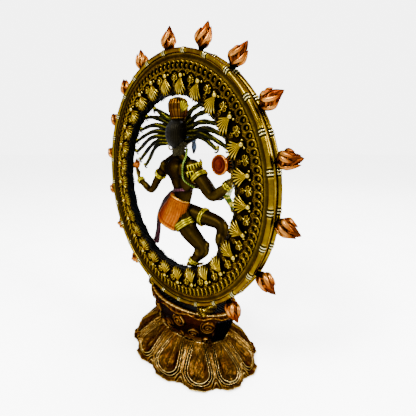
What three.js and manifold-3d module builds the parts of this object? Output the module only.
// Dancing figure in a ring of flames on a double lotus base, millimetres, +Z up.
// Origin: middle of the base's underside.  The statue faces -Y; its right hand side is -X.
import * as THREE from 'three';
import { mergeVertices } from 'three/addons/utils/BufferGeometryUtils.js';
import Module from 'manifold-3d';

const wasm = await Module();
wasm.setup();

// ---------------------------------------------------------------- driving dimensions
const GAP = 0.3;                 // clearance between separate pieces

const RING_Y = 19;               // the ring stands behind the middle of the base
const RING_LIFT = 0.36;          // from the upper lotus up to the rims' collars
const RIM_R = 100;               // centre line of the two bamboo rims
const RIM_TUBE = 2.2;            // radius of a rim's tube
const WEB_HALF = 1.26;           // half thickness of the web and the tenon between the rims
const COLLARS = 27;              // collars on each rim, and shells round the hole
const COLLAR_SWELL = 1.2;        // collar radius over tube radius
const COLLAR_SHARE = 0.9;        // cosine within which the rim is swollen to a collar
const RIM_TO_CHAIN = 9.4;        // from the rims' centre line in to the chain's
const CHAIN_HALF = 2.6;
const CHAIN_THICK = 0.9;
const CHAIN_TO_SHELL = 3;
const SHELL_LENGTH = 14;
const SHELL_THICK = 1.9;
const SCALLOP = 1.6;             // how far a shell's tip stands in from the band's inner edge
const SCALLOP_ROOT = 1;          // how far the notch between two shells stands out from the hole
const PLATE_HALF = 2.2;          // half thickness of the ring plate
const DISH_RISE = 1;             // how far the dished band rises to the rims
const WEB_OUT = 1;               // how far the web between the rims passes their centre line

const FLAME_LENGTH = 18.4;
const FLAME_WIDE = 5.3;
const FLAME_FLAT = 0.8;          // a flame's depth over its width
const FLAME_TWIST = 1.2;
const FLAME_BEND = 1.1;
const FLAME_ANGLES = [0, 20.6, 39, 58.2, 76.8, 97.4, 118.7, 140.9];

const PAD_THICK = 1.5;
const PAD_SHARE = 0.86;          // the pad's size over the ground outline's
const LOWER_HEIGHT = 25;         // top of the lower lotus
const UPPER_HEIGHT = 32;         // height of the upper lotus
const GROUND_HALF = [69, 50.5];  // half length and half width of the lower lotus
const NECK_HALF = [42, 25.5];
const BOWL_HALF = [53, 32.5];
const PETALS = 12;
const BOLT_R = 2;
const BOLT_HEAD_R = 3.8;
const BOLT_HEAD_H = 3;
const BOLT_GRIP = 14.8;          // the bolt's length inside the upper lotus
const TAB = [30, 12];            // the ring's tenon: width, and depth in the bowl
const TAB_WEB = 4;               // how far short of the shell tips the tenon stops
const PIN_R = 1.2;
const PIN_LENGTH = 20;
const CRADLE = [6, 11, 6];       // the blocks that brace the ring's foot: half sizes and height
const CRADLE_RISE = 6.9;         // height of the ring's underside over the blocks' middles

const FIGURE_HOLE = 71;          // radius of the hole that the figure's points are given for
const FOOT = [-20, -0.4];        // where the standing foot's peg enters the ring plate
const PEG_R = 1;
const PEG_DEPTH = 6;
const PEG_RISE = 4;              // the peg's length inside the foot
const BAND_THICK = 0.8;          // radius of a bracelet's section
const BAND_PITCH = 1.36;         // spacing of a bracelet's rows
const HOOP_R = 2.2;
const HOOP_THICK = 0.9;

const SIDES = 8;                 // sides of a limb
const AROUND = 81;               // sides of the ring plate
const COLLAR_STEPS = 5;          // steps along a rim from collar to collar

// ---------------------------------------------------------------- sizes that follow
const padTop = PAD_THICK;
const lowerTop = LOWER_HEIGHT;
const upperBottom = lowerTop + GAP;
const upperTop = lowerTop + UPPER_HEIGHT;
const boltBottom = padTop + 2 * GAP;
const boltTop = upperBottom + BOLT_GRIP;

const collarR = RIM_TUBE * COLLAR_SWELL;
const rimOut = RIM_R + collarR;
const rimOffset = WEB_HALF + GAP + collarR;
const ringZ = upperTop + RING_LIFT + rimOut;
const chainR = RIM_R - RIM_TO_CHAIN;
const shellOutR = chainR - CHAIN_HALF - CHAIN_TO_SHELL;
const holeR = shellOutR - SHELL_LENGTH;
const plateEdge = RIM_R - collarR - GAP;
const webR = RIM_R + WEB_OUT;
const bandFace = PLATE_HALF + GAP;
const figureScale = holeR / FIGURE_HOLE;
const cradleX = Math.sqrt(rimOut ** 2 - (rimOut - CRADLE_RISE) ** 2);
const cradleY = RING_Y + rimOffset + collarR - CRADLE[1];

// ---------------------------------------------------------------- solids
// One geometry with shared vertices and no flat triangles.
function weld(geometry) {
  const plain = geometry.clone();
  plain.deleteAttribute('normal');
  plain.deleteAttribute('uv');
  const merged = mergeVertices(plain, 1e-4);
  const index = merged.index.array;
  const kept = [];
  for (let i = 0; i < index.length; i += 3) {
    const [a, b, c] = [index[i], index[i + 1], index[i + 2]];
    if (a !== b && b !== c && c !== a) kept.push(a, b, c);
  }
  merged.setIndex(kept);
  return merged;
}

function solid(geometry) {
  const merged = weld(geometry);
  return new wasm.Manifold(new wasm.Mesh({
    numProp: 3,
    vertProperties: new Float32Array(merged.attributes.position.array),
    triVerts: new Uint32Array(merged.index.array),
  }));
}

function geometryOf(manifold) {
  const mesh = manifold.getMesh();
  const geometry = new THREE.BufferGeometry();
  geometry.setAttribute('position', new THREE.BufferAttribute(mesh.vertProperties, 3));
  geometry.setIndex(new THREE.BufferAttribute(mesh.triVerts, 1));
  return geometry;
}

const join = (...solids) => solids.reduce((all, one) => all.add(one));

const cut = (first, ...rest) => rest.reduce((left, one) => left.subtract(one), first);

// A closed skin through rings of points: place(k, s, c) gives the point of ring k in the
// direction (s, c); the first and last rings are single points.
function loft(rings, around, place) {
  const profile = [];
  for (let k = 0; k < rings; k += 1) {
    profile.push(new THREE.Vector2(k === 0 || k === rings - 1 ? 0 : 1, k));
  }
  const geometry = new THREE.LatheGeometry(profile, around);
  const position = geometry.attributes.position;
  for (let i = 0; i < position.count; i += 1) {
    const point = place(Math.round(position.getY(i)), position.getX(i), position.getZ(i));
    position.setXYZ(i, point.x, point.y, point.z);
  }
  return weld(geometry);
}

// Shrink and set-back of the rings that round a limb's end, from its tip.
const END_RINGS = [0, 0.5, 0.87].map((shrink) => [shrink, Math.sqrt(1 - shrink ** 2)]);
const FLATTEST_END = 0.6;

// A round-ended limb along a smooth curve.  Each path point is [x, y, z, radius], in the
// figure's frame; deep is the section's depth over its width.
function limb(path, { extra = 0, deep = 1, steps = 3, sides = SIDES, side = [1, 0, 0] } = {}) {
  const curve = new THREE.CatmullRomCurve3(path.map(([x, y, z]) => onRing(x, y, z)));
  const last = path.length - 1;
  const rings = [];
  const add = (share, back, shrink) => {
    const at = Math.min(Math.floor(share * last), last - 1);
    const mean = THREE.MathUtils.lerp(path[at][3], path[at + 1][3], share * last - at);
    const radius = mean * figureScale;
    const along = curve.getTangent(share);
    const wide = new THREE.Vector3(...side);
    wide.addScaledVector(along, -along.dot(wide)).normalize();
    const reach = back * (radius + extra) * Math.max(deep, FLATTEST_END);
    rings.push({
      middle: curve.getPoint(share).addScaledVector(along, reach),
      wide,
      thick: new THREE.Vector3().crossVectors(wide, along),
      width: (radius + extra) * shrink,
      depth: (radius * deep + extra) * shrink,
    });
  };
  END_RINGS.forEach(([shrink, back]) => add(0, -back, shrink));
  const count = last * steps;
  for (let k = 0; k <= count; k += 1) add(k / count, 0, 1);
  [...END_RINGS].reverse().forEach(([shrink, back]) => add(1, back, shrink));
  return loft(rings.length, sides, (k, s, c) => {
    const { middle, wide, thick, width, depth } = rings[k];
    return middle.clone().addScaledVector(wide, s * width).addScaledVector(thick, c * depth);
  });
}

const limbSolid = (path, options) => solid(limb(path, options));

// A point of the figure, given from the ring's centre.
function onRing(x, y, z) {
  return new THREE.Vector3(x * figureScale, RING_Y + y * figureScale, ringZ + z * figureScale);
}

// A closed bracelet round the line from one point to another, on a limb of the given radius.
function bracelet({ from, towards, radius, rows = 1, squash = 1 }) {
  const middle = onRing(...from);
  const axis = onRing(...towards).sub(middle).normalize();
  const turn = new THREE.Quaternion().setFromUnitVectors(new THREE.Vector3(0, 0, 1), axis);
  const reach = radius * figureScale + GAP + BAND_THICK;
  const solids = [];
  for (let row = 0; row < rows; row += 1) {
    const ring = new THREE.TorusGeometry(reach, BAND_THICK, 5, 14);
    ring.scale(1, squash, 1);
    ring.translate(0, 0, (row - (rows - 1) / 2) * BAND_PITCH);
    ring.applyQuaternion(turn);
    ring.translate(middle.x, middle.y, middle.z);
    solids.push(solid(ring));
  }
  return join(...solids);
}

function box(width, depth, height, x, y, z) {
  const geometry = new THREE.BoxGeometry(width, depth, height);
  geometry.translate(x, y, z);
  return solid(geometry);
}

// ---------------------------------------------------------------- assembly
const statue = new THREE.Group();

const FINISH = {
  ring: { color: 0x5f4d16, roughness: 0.42, metalness: 0.75 },
  gold: { color: 0xa8842c, roughness: 0.35, metalness: 0.85 },
  copper: { color: 0xb4623c, roughness: 0.45, metalness: 0.6 },
  lotus: { color: 0x7a5c2c, roughness: 0.42, metalness: 0.75 },
  bowl: { color: 0x6b3c18, roughness: 0.45, metalness: 0.6 },
  skin: { color: 0x4a4426, roughness: 0.55, metalness: 0.35 },
  hair: { color: 0x2c3314, roughness: 0.6, metalness: 0.2 },
  crown: { color: 0xa5611c, roughness: 0.5, metalness: 0.35 },
  yellow: { color: 0xe0c400, roughness: 0.4, metalness: 0.1 },
  orange: { color: 0xc4662a, roughness: 0.5, metalness: 0.2 },
  purple: { color: 0x6b3b4c, roughness: 0.55, metalness: 0.1 },
  green: { color: 0x8a9a4a, roughness: 0.5, metalness: 0.1 },
  dark: { color: 0x2f333c, roughness: 0.5, metalness: 0.3 },
  steel: { color: 0x9a9ea3, roughness: 0.35, metalness: 0.9 },
  felt: { color: 0x1d1d20, roughness: 0.95, metalness: 0 },
};

function put(name, shape, finish) {
  const geometry = shape.isBufferGeometry ? shape : geometryOf(shape);
  const mesh = new THREE.Mesh(geometry, new THREE.MeshStandardMaterial(FINISH[finish]));
  mesh.name = name;
  statue.add(mesh);
  return mesh;
}

// ---------------------------------------------------------------- base
// An oval solid through [z, halfLength, halfWidth, lobe] rows, flat above and below.
function oval(rows, lobes, around) {
  const all = [rows[0], ...rows, rows[rows.length - 1]];
  return loft(all.length, around, (k, s, c) => {
    const [z, halfLength, halfWidth, lobe] = all[k];
    const wave = 1 + lobe * (Math.abs(Math.cos(Math.atan2(s, c) * lobes / 2)) - 0.6);
    return new THREE.Vector3(c * halfLength * wave, s * halfWidth * wave, z);
  });
}

const mix = (a, b, share) => a.map((value, i) => THREE.MathUtils.lerp(value, b[i], share));

function bore(radius, from, to) {
  const geometry = new THREE.CylinderGeometry(radius, radius, to - from, 20);
  geometry.rotateX(Math.PI / 2);
  geometry.translate(0, 0, (from + to) / 2);
  return solid(geometry);
}

const padHalf = GROUND_HALF.map((half) => half * PAD_SHARE);
put('felt_pad', oval([[0, ...padHalf, 0], [padTop, ...padHalf, 0]], 1, 48), 'felt');

// Height over the lotus's height, share of the way from ground to neck, and lobe depth.
const LOWER_ROWS = [[0.14, 0, 0.05], [0.3, 0.1, 0.05], [0.55, 0.36, 0.05], [0.8, 0.72, 0.04], [1, 1, 0.02]];
const lotusRow = (height, share, lobe) => [height, ...mix(GROUND_HALF, NECK_HALF, share), lobe];
const padSeat = padHalf.map((half) => half + GAP);
put('base_lower_lotus', cut(
  solid(oval([
    lotusRow(GAP, 0.03, 0.04),
    ...LOWER_ROWS.map(([up, share, lobe]) => lotusRow(lowerTop * up, share, lobe)),
  ], PETALS, 72)),
  solid(oval([[-GAP, ...padSeat, 0], [padTop + GAP, ...padSeat, 0]], 1, 48)),
  bore(BOLT_R + GAP, -GAP, lowerTop + GAP),
  bore(BOLT_HEAD_R + GAP, -GAP, boltBottom + BOLT_HEAD_H),
), 'lotus');

const UPPER_ROWS = [[0, 0, 0.02], [0.3, 0.45, 0.03], [0.7, 0.9, 0.04], [0.92, 1, 0.05], [1, 0.82, 0.04]];
const tabBottom = upperTop - TAB[1];
const tabHeight = ringZ - holeR - TAB_WEB - tabBottom;
const pinZ = upperTop - TAB[1] / 2;

function tenon(extra, height) {
  const middle = tabBottom - extra + height / 2;
  return box(TAB[0] + 2 * extra, 2 * (WEB_HALF + extra), height, 0, RING_Y, middle);
}

function pin(radius, length) {
  const geometry = new THREE.CylinderGeometry(radius, radius, length, 14);
  geometry.translate(0, RING_Y, pinZ);
  return solid(geometry);
}

put('base_upper_lotus', cut(
  solid(oval(UPPER_ROWS.map(([up, share, lobe]) => [
    THREE.MathUtils.lerp(upperBottom, upperTop, up),
    ...mix(NECK_HALF, BOWL_HALF, share),
    lobe,
  ]), PETALS, 60)),
  bore(BOLT_R + GAP, 0, boltTop + GAP),
  tenon(GAP, 2 * TAB[1]),
  pin(PIN_R + GAP, 2 * PIN_LENGTH),
), 'bowl');

const boltNeck = boltBottom + BOLT_HEAD_H - GAP;
const bolt = new THREE.LatheGeometry([
  [0, boltBottom], [BOLT_HEAD_R, boltBottom], [BOLT_HEAD_R, boltNeck],
  [BOLT_R, boltNeck], [BOLT_R, boltTop], [0, boltTop],
].map(([radius, z]) => new THREE.Vector2(radius, z)), 16);
bolt.rotateX(Math.PI / 2);
put('tie_bolt', weld(bolt), 'steel');
put('ring_pin', pin(PIN_R, PIN_LENGTH), 'steel');

const envelopeHalf = rimOffset + collarR + GAP;
const envelope = new THREE.CylinderGeometry(rimOut + GAP, rimOut + GAP, 2 * envelopeHalf, 180);
envelope.translate(0, RING_Y, ringZ);

// Height and size of each ring of a cradle block, over the block's own.
const BLOCK_ROWS = [[0, 0], [0, 0.92], [0.35, 1], [0.8, 0.95], [1, 0.8], [1, 0]];
for (const [name, sign] of [['left', 1], ['right', -1]]) {
  const block = loft(BLOCK_ROWS.length, 12, (k, s, c) => {
    const [up, swell] = BLOCK_ROWS[k];
    const corner = swell / Math.sqrt(Math.max(Math.abs(s), Math.abs(c), Number.EPSILON));
    return new THREE.Vector3(
      sign * cradleX + c * CRADLE[0] * corner,
      cradleY + s * CRADLE[1] * corner,
      upperTop + GAP + up * CRADLE[2],
    );
  });
  put(`cradle_${name}`, cut(solid(block), solid(envelope)), 'ring');
}

// ---------------------------------------------------------------- ring
// A solid of revolution round the ring's axis, from its closed [radius, y] outline.
function turned(outline, y, around, sign = 1) {
  const geometry = new THREE.LatheGeometry(outline.map(([r, h]) => new THREE.Vector2(r, h)), around);
  if (sign < 0) geometry.rotateX(Math.PI);
  geometry.translate(0, RING_Y + y, ringZ);
  return geometry;
}

const halfPlate = [
  [holeR, PLATE_HALF], [chainR + CHAIN_HALF + GAP, PLATE_HALF],
  [plateEdge - GAP, PLATE_HALF + DISH_RISE], [plateEdge, WEB_HALF], [webR, WEB_HALF],
];
const plateOutline = [
  ...halfPlate, ...[...halfPlate].reverse().map(([r, y]) => [r, -y]), halfPlate[0],
].reverse();

const footZ = -Math.sqrt(FIGURE_HOLE ** 2 - FOOT[0] ** 2);
function peg(radius, extra) {
  const length = PEG_DEPTH + PEG_RISE + extra;
  const geometry = new THREE.CylinderGeometry(radius, radius, length, 12);
  geometry.rotateX(Math.PI / 2);
  const entry = onRing(FOOT[0], FOOT[1], footZ);
  geometry.translate(entry.x, entry.y, entry.z + (PEG_RISE - PEG_DEPTH - extra) / 2);
  return solid(geometry);
}

put('ring_plate', cut(
  join(solid(turned(plateOutline, 0, AROUND)), tenon(0, tabHeight)),
  pin(PIN_R + GAP, 2 * PIN_LENGTH),
  peg(PEG_R + GAP, GAP),
), 'ring');

// Moves the points of a band's inner edge onto the shells' tips.
function scallop(geometry) {
  const position = geometry.attributes.position;
  for (let i = 0; i < position.count; i += 1) {
    const [x, z] = [position.getX(i), position.getZ(i) - ringZ];
    if (Math.hypot(x, z) > holeR + SCALLOP_ROOT) continue;
    const angle = Math.atan2(x, z);
    const bite = SCALLOP * Math.sqrt(Math.abs(Math.cos(angle * COLLARS / 2)));
    const inner = holeR + SCALLOP_ROOT - bite;
    position.setX(i, inner * Math.sin(angle));
    position.setZ(i, ringZ + inner * Math.cos(angle));
  }
  return geometry;
}

// A bamboo tube with a collar at each joint.
function bamboo(sign) {
  const rim = new THREE.TorusGeometry(RIM_R, RIM_TUBE, 6, COLLARS * COLLAR_STEPS);
  const position = rim.attributes.position;
  for (let i = 0; i < position.count; i += 1) {
    const point = new THREE.Vector3().fromBufferAttribute(position, i);
    const angle = Math.atan2(point.x, point.y);
    const middle = new THREE.Vector3(Math.sin(angle) * RIM_R, Math.cos(angle) * RIM_R, 0);
    const swell = Math.cos(angle * COLLARS) > COLLAR_SHARE ? COLLAR_SWELL : 1;
    point.sub(middle).multiplyScalar(swell).add(middle);
    position.setXYZ(i, point.x, point.z + RING_Y + sign * rimOffset, point.y + ringZ);
  }
  const tube = weld(rim);
  tube.setIndex([...tube.index.array].reverse());
  return tube;
}

const shellOutline = [
  [holeR, 0], [shellOutR, 0], [shellOutR, SHELL_THICK], [holeR, SHELL_THICK], [holeR, 0],
];
const CHAIN_CHAMFER = 0.7;
const chainOutline = [
  [chainR - CHAIN_HALF, 0], [chainR + CHAIN_HALF, 0],
  [chainR + CHAIN_HALF * CHAIN_CHAMFER, CHAIN_THICK],
  [chainR - CHAIN_HALF * CHAIN_CHAMFER, CHAIN_THICK], [chainR - CHAIN_HALF, 0],
];
for (const [name, sign] of [['back', 1], ['front', -1]]) {
  put(`rim_${name}`, bamboo(sign), 'gold');
  const shells = scallop(turned(shellOutline, sign * bandFace, COLLARS * 4, sign));
  put(`shell_band_${name}`, weld(shells), 'gold');
  put(`chain_band_${name}`, weld(turned(chainOutline, sign * bandFace, 54, sign)), 'ring');
}

// A flame's outline: distance along it over its length, and width over its widest.
const FLAME_ROWS = [[0.26, 0.92], [0.42, 1], [0.62, 0.78], [0.82, 0.42], [0.96, 0.16], [1, 0]];
const flameRoot = webR + GAP;
const neckShare = (rimOut + GAP - flameRoot) / FLAME_LENGTH;
const neckWide = WEB_HALF / FLAME_WIDE;

// One bud of flame: a round neck between the rims, and a fluted, twisted, bent body.
function flame(angle) {
  const rows = [[0, 0], [0, neckWide], [neckShare, neckWide], ...FLAME_ROWS];
  const out = new THREE.Vector3(Math.sin(angle), 0, Math.cos(angle));
  const across = new THREE.Vector3(Math.cos(angle), 0, -Math.sin(angle));
  return loft(rows.length, 10, (k, s, c) => {
    const [along, width] = rows[k];
    const turn = Math.atan2(s, c) + along * FLAME_TWIST;
    const body = along > neckShare;
    const reach = width * FLAME_WIDE * (body ? 1 + 0.1 * Math.cos(5 * turn) : 1);
    const bend = FLAME_BEND * Math.sin(along * Math.PI * 1.5) * along;
    const y = c * reach * (body ? FLAME_FLAT : 1);
    const point = new THREE.Vector3(0, RING_Y + y, ringZ);
    point.addScaledVector(out, flameRoot + along * FLAME_LENGTH);
    return point.addScaledVector(across, -s * reach + bend);
  });
}

FLAME_ANGLES.forEach((degrees, i) => {
  const number = String(i).padStart(2, '0');
  const pair = [[`left_${number}`, 1], [`right_${number}`, -1]];
  for (const [side, sign] of degrees === 0 ? [['top', 1]] : pair) {
    put(`flame_${side}`, flame(sign * THREE.MathUtils.degToRad(degrees)), 'copper');
  }
});

// ---------------------------------------------------------------- figure
// Points are [x, y, z, radius] from the ring's centre, in a hole of radius FIGURE_HOLE.
const TORSO = [
  [-1, -5, -27, 8.6], [-2, -5.5, -17, 9.4], [-6, -7, -5, 7.8], [-4, -6.5, 5, 11], [-2.5, -6, 14.5, 14.6],
  [-2.6, -6, 20.5, 9.5], [-3.8, -5.6, 25, 4.6], [-4.4, -5.4, 33, 4.2],
];
const STANDING = [
  [-4, -5, -25, 8.6], [-12, -6.5, -38, 7.4], [-28, -8, -50.5, 5.2],
  [-25, -5.5, -57, 4.6], [-20, -2.5, -64.5, 2.9],
];
const STANDING_FOOT = [[-17.5, 0.2, -66.6, 1.6], [-21, -3, -66.2, 2], [-27, -8, -64.6, 1.5]];
const RAISED = [
  [3, -9, -22, 7.4], [-17, -16, -26.5, 6.6], [-37, -20, -31, 5.1],
  [-39.5, -18.5, -44, 4.5], [-41, -18, -57, 2.7],
];
const RAISED_FOOT = [[-40, -16.8, -59, 2.2], [-45, -20, -61.5, 2.3], [-51, -24, -62, 1.5]];
const HEAD = { x: -4.6, y: -5, z: 42.5, half: [9.2, 9.8, 11] };

const FORWARD = [0, 1, 0];       // a limb's section is measured from this direction

// The standing body, the raised leg and each arm, grown by extra all round.
const core = (extra = 0) => join(
  limbSolid(TORSO, { extra, deep: 0.72, sides: 12, steps: 2 }),
  limbSolid(STANDING, { extra }),
  limbSolid(STANDING_FOOT, { extra, steps: 2 }),
);
const raisedLeg = (extra = 0) => join(
  limbSolid(RAISED, { extra, side: FORWARD }),
  limbSolid(RAISED_FOOT, { extra, steps: 2 }),
);

// The inner side of the ring plate and the shell bands, as a tool that trims what stands on it.
function holeTool() {
  const inner = holeR + SCALLOP_ROOT - SCALLOP - GAP;
  const outer = holeR + SHELL_LENGTH / 2;
  const half = PLATE_HALF + SHELL_THICK + CRADLE[0] / 2;
  const outline = [[inner, -half], [outer, -half], [outer, half], [inner, half], [inner, -half]];
  return solid(turned(outline, 0, AROUND));
}

put('figure_body', join(cut(core(), holeTool()), peg(PEG_R, 0)), 'skin');
put('leg_raised', cut(raisedLeg(), core(GAP)), 'skin');

// An oval body of [up, out] rows round a middle, grown by extra all round.
function ovalBody(rows, around, extra, { x, y, z, half, ripple = 0, flutes = 1 }) {
  const grow = extra / figureScale;
  return solid(loft(rows.length, around, (k, s, c) => {
    const [up, out] = rows[k];
    const wave = 1 + ripple * Math.cos(Math.atan2(s, c) * flutes);
    return onRing(
      x + c * out * (half[0] * wave + grow),
      y + s * out * (half[1] * wave + grow),
      z + up * (half[2] + grow),
    );
  }));
}

const HEAD_ROWS = [
  [-1, 0], [-0.9, 0.44], [-0.62, 0.74], [-0.2, 0.97], [0.2, 1], [0.58, 0.82], [0.86, 0.5], [1, 0],
];
const skull = (extra = 0) => ovalBody(HEAD_ROWS, 14, extra, HEAD);
put('head', cut(skull(), core(GAP)), 'skin');

// The crown runs from inside the hair to the shell tips at the top of the hole.
const CROWN_X = -3;
const CROWN_HALF = [7.9, 7.3];
const CROWN_SINK = 3;
const CROWN_BITE = 0.4;
const CROWN_ROWS = [[-1, 0], [-1, 0.6], [-0.76, 0.84], [-0.2, 1], [0.4, 0.94], [0.8, 0.66], [1, 0]];
const crownBase = HEAD.z + HEAD.half[2] - CROWN_SINK;
const crownTop = (holeR - SCALLOP + CROWN_BITE) / figureScale;
const bun = (extra = 0) => ovalBody(CROWN_ROWS, 24, extra, {
  x: CROWN_X,
  y: HEAD.y,
  z: (crownBase + crownTop) / 2,
  half: [...CROWN_HALF, (crownTop - crownBase) / 2],
  ripple: 0.05,
  flutes: 12,
});
put('crown', cut(bun(), skull(GAP)), 'crown');

const CROWN_LEAF = [[-9, -5, 57, 1.4], [-12, -5, 61.5, 2.8], [-14.6, -5, 65.5, 2.2]];
put('crown_fan', cut(limbSolid(CROWN_LEAF, { deep: 0.45, steps: 2 }), bun(GAP)), 'yellow');

const PENDANT = [[-20.5, -6, 36.2, 1.6], [-20.8, -6, 31, 2.3], [-20.3, -6, 27.5, 1.4]];
const pendant = (extra = 0) => limbSolid(PENDANT, { extra, steps: 2 });

// Flying locks: each runs from the side of the head to [x, z] near the hole's edge.
const LOCKS = {
  left: [[27, 62], [39.5, 56.5], [50, 46.5], [58.5, 36.5], [60, 26.5], [55, 19], [46, 14]],
  right: [[-31, 61], [-40.5, 55.5], [-51, 46], [-58, 37.5], [-58, 30.5], [-47, 30]],
};
const LOCK = {
  y: -3, tipY: -3.5, topZ: 51, lowZ: 35.5, root: 1.6, waist: 1.5, tip: 1.1,
  half: 0.5, drop: 0.42, wave: 1.6, wavedY: -2.5, lift: [2, 5],
};
const PAD_OF_HAIR = [[-2, 50.5, 2.4], [0.8, 43, 2.6], [-1.2, 35.5, 2.4]];

// One lock's path, from its place among its side's locks to its tip.
function lockPath(rootX, [x, z], share, odd) {
  const { lerp } = THREE.MathUtils;
  const rootZ = lerp(LOCK.topZ, LOCK.lowZ, share);
  return [
    [rootX, LOCK.y, rootZ, LOCK.root],
    [
      lerp(rootX, x, LOCK.half),
      LOCK.wavedY - (odd ? LOCK.wave : 0),
      lerp(rootZ, z, LOCK.drop) + lerp(...LOCK.lift, share),
      LOCK.waist,
    ],
    [x, LOCK.tipY, z, LOCK.tip],
  ];
}

for (const [side, tips] of Object.entries(LOCKS)) {
  const sign = side === 'left' ? 1 : -1;
  const rootX = HEAD.x + sign * (HEAD.half[0] - 0.5);
  const root = limbSolid(PAD_OF_HAIR.map(([out, z, r]) => [rootX + sign * out, LOCK.y, z, r]));
  const locks = tips.map((tip, i) => limbSolid(
    lockPath(rootX, tip, i / (tips.length - 1), i % 2 === 1),
    { side: FORWARD, sides: 6, steps: 2 },
  ));
  const tools = [skull(GAP), core(GAP), bun(GAP), pendant(GAP), holeTool()];
  put(`hair_${side}`, cut(join(root, ...locks), ...tools), 'hair');
}

put('earring_right', cut(pendant(), skull(GAP)), 'dark');
const HOOP = [10.6, -7, 31.4];
const hoop = new THREE.TorusGeometry(HOOP_R * figureScale, HOOP_THICK, 6, 14);
hoop.rotateY(Math.PI / 2);
hoop.translate(...onRing(...HOOP).toArray());
put('earring_left', cut(solid(hoop), skull(GAP), core(GAP)), 'gold');

// Each arm from the shoulder over the elbow to the wrist, and its hand from there.
const ARMS = {
  rear_left: {
    arm: [
      [15.5, -4.5, 16, 4.6], [28, -4.5, 3, 3.9], [40.5, -4.8, -9, 3.5],
      [50, -3.6, -5, 3.2], [58.5, -2.6, 0.5, 2.3],
    ],
    hand: [[60.5, -2.6, 4.2, 2.2], [62.3, -2.6, 8.4, 2.2]],
  },
  rear_right: {
    arm: [
      [-20.5, -4.5, 16, 4.8], [-31, -5.5, 5, 4.2], [-40.5, -6.5, -5, 3.8],
      [-49, -8, 0, 3.3], [-55.5, -10, 6, 2.3],
    ],
    hand: [[-57.3, -11, 9, 2.1], [-58.8, -12, 12.4, 2]],
  },
  front_left: {
    arm: [
      [13.5, -9, 14, 4.4], [16, -17, 6, 3.8], [12, -25, -2, 3.4],
      [0, -30, -4, 3], [-11, -32, -5.5, 2.2],
    ],
    hand: [[-14.5, -32.4, -6.6, 2], [-19.5, -32.2, -11, 1.6]],
  },
  front_right: {
    arm: [
      [-18.5, -9, 14, 4.4], [-27, -14, 3, 3.8], [-34.5, -19, -8, 3.5],
      [-39, -25, -3, 3], [-42.5, -29.5, 4, 2.2],
    ],
    hand: [[-43.2, -30.4, 7.5, 2.3], [-43.8, -30.8, 13, 1.8]],
  },
};
const armSolid = ({ arm, hand }, extra = 0) => join(
  limbSolid(arm, { extra, side: FORWARD }),
  limbSolid([arm[arm.length - 1], ...hand], { extra, side: FORWARD, steps: 2 }),
);
const armTools = [];
for (const [name, arm] of Object.entries(ARMS)) {
  put(`arm_${name}`, cut(armSolid(arm), core(GAP), ...armTools), 'skin');
  armTools.push(armSolid(arm, GAP));
}

const DAMARU = { x: -50.2, z: 19, near: -3, far: -19, face: 7.4, waist: 3.8, edge: 2 };
const drumOutline = [
  [0, DAMARU.far], [DAMARU.face, DAMARU.far], [DAMARU.face, DAMARU.far + DAMARU.edge],
  [DAMARU.waist, (DAMARU.near + DAMARU.far) / 2],
  [DAMARU.face, DAMARU.near - DAMARU.edge], [DAMARU.face, DAMARU.near], [0, DAMARU.near],
].map(([radius, y]) => new THREE.Vector2(radius, y).multiplyScalar(figureScale));
const drum = new THREE.LatheGeometry(drumOutline, 20);
drum.translate(...onRing(DAMARU.x, 0, DAMARU.z).toArray());
put('damaru', cut(solid(drum), ...armTools), 'orange');

const HAND_FLAME = [[62.6, -2.6, 12, 2], [62, -2.6, 15.5, 2.5], [61.2, -2.6, 20.6, 0.8]];
put('agni_flame', cut(limbSolid(HAND_FLAME, { steps: 2 }), ...armTools), 'orange');

const COBRA = [
  [-41, -25, -17, 1.2], [-44.5, -22.5, -11, 1.9], [-44, -20.5, -4.5, 2.2],
  [-46.5, -19.5, 2.5, 3], [-49, -20.5, 7.4, 1.8],
];
put('cobra', cut(limbSolid(COBRA, { deep: 0.8 }), ...armTools, raisedLeg(GAP)), 'green');

// ---------------------------------------------------------------- clothes and bands
const LOINCLOTH = [[-3.5, -5, -13.5, 10.2], [1, -3.5, -22, 12], [7, -1.5, -31.5, 12.4]];
const loincloth = (extra = 0) => limbSolid(LOINCLOTH, { extra, deep: 0.86 });
put('loincloth', cut(loincloth(), core(GAP), raisedLeg(GAP)), 'orange');

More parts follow.
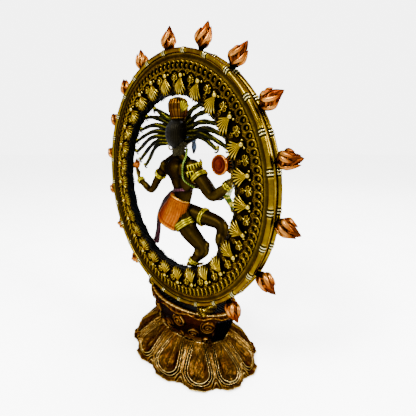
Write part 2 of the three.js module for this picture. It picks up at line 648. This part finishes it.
const SASH = [
  [4.5, -5, -7, 2], [17, -4, -19, 2.6], [26.5, -3.5, -32, 2.5],
  [29.5, -3.5, -47, 2.7], [33.8, -3.5, -57.6, 3],
];
put('sash', cut(limbSolid(SASH, { deep: 0.55 }), core(GAP), loincloth(GAP), holeTool()), 'purple');

const SNAKE_THREAD = [
  [-9.5, -4.5, 31, 0.9], [-13.4, -1.4, 25, 0.9], [-15.4, 3.4, 17, 1], [-15.4, 3.6, 9, 1], [-18, -3, 0, 0.9],
];
put('snake_thread', cut(limbSolid(SNAKE_THREAD), core(GAP), skull(GAP), ...armTools), 'green');

// Where each bracelet sits, the way its axis points, its limb's radius and its rows of cord.
const BANDS = {
  chest_belt: { from: [-5.2, -6.8, -3.6], towards: [-4.2, -6.6, 4], radius: 8, squash: 0.76 },
  armlet_left: { from: [24, -4.5, 7.2], towards: [28, -4.5, 3], radius: 4.15, rows: 2 },
  armlet_right: { from: [-27.6, -5.1, 9], towards: [-31, -5.5, 5], radius: 4.5, rows: 2 },
  bangle_left: { from: [56, -2.9, -1.3], towards: [58.5, -2.6, 0.5], radius: 2.7 },
  bangle_right: { from: [-53.2, -9.2, 4], towards: [-55.5, -10, 6], radius: 2.9 },
  thigh_band_right: { from: [-8.6, -5.9, -33.4], towards: [-12, -6.5, -38], radius: 8.2, rows: 2 },
  thigh_band_left: { from: [-19.5, -16.8, -27.1], towards: [-21, -17.2, -27.5], radius: 6.6, rows: 2 },
  anklet_right: { from: [-21.2, -3.4, -62.4], towards: [-20, -2.5, -64.5], radius: 3.5 },
  anklet_left: { from: [-40.7, -18.1, -54], towards: [-41, -18, -57], radius: 3.5 },
  shoulder_fringe: { from: [-21, -4.8, 15], towards: [-27, -5.1, 9.5], radius: 5.2 },
};
for (const [name, place] of Object.entries(BANDS)) {
  const tools = [core(GAP), raisedLeg(GAP), loincloth(GAP), ...armTools];
  put(name, cut(bracelet(place), ...tools), name === 'chest_belt' ? 'purple' : 'yellow');
}

export default statue;
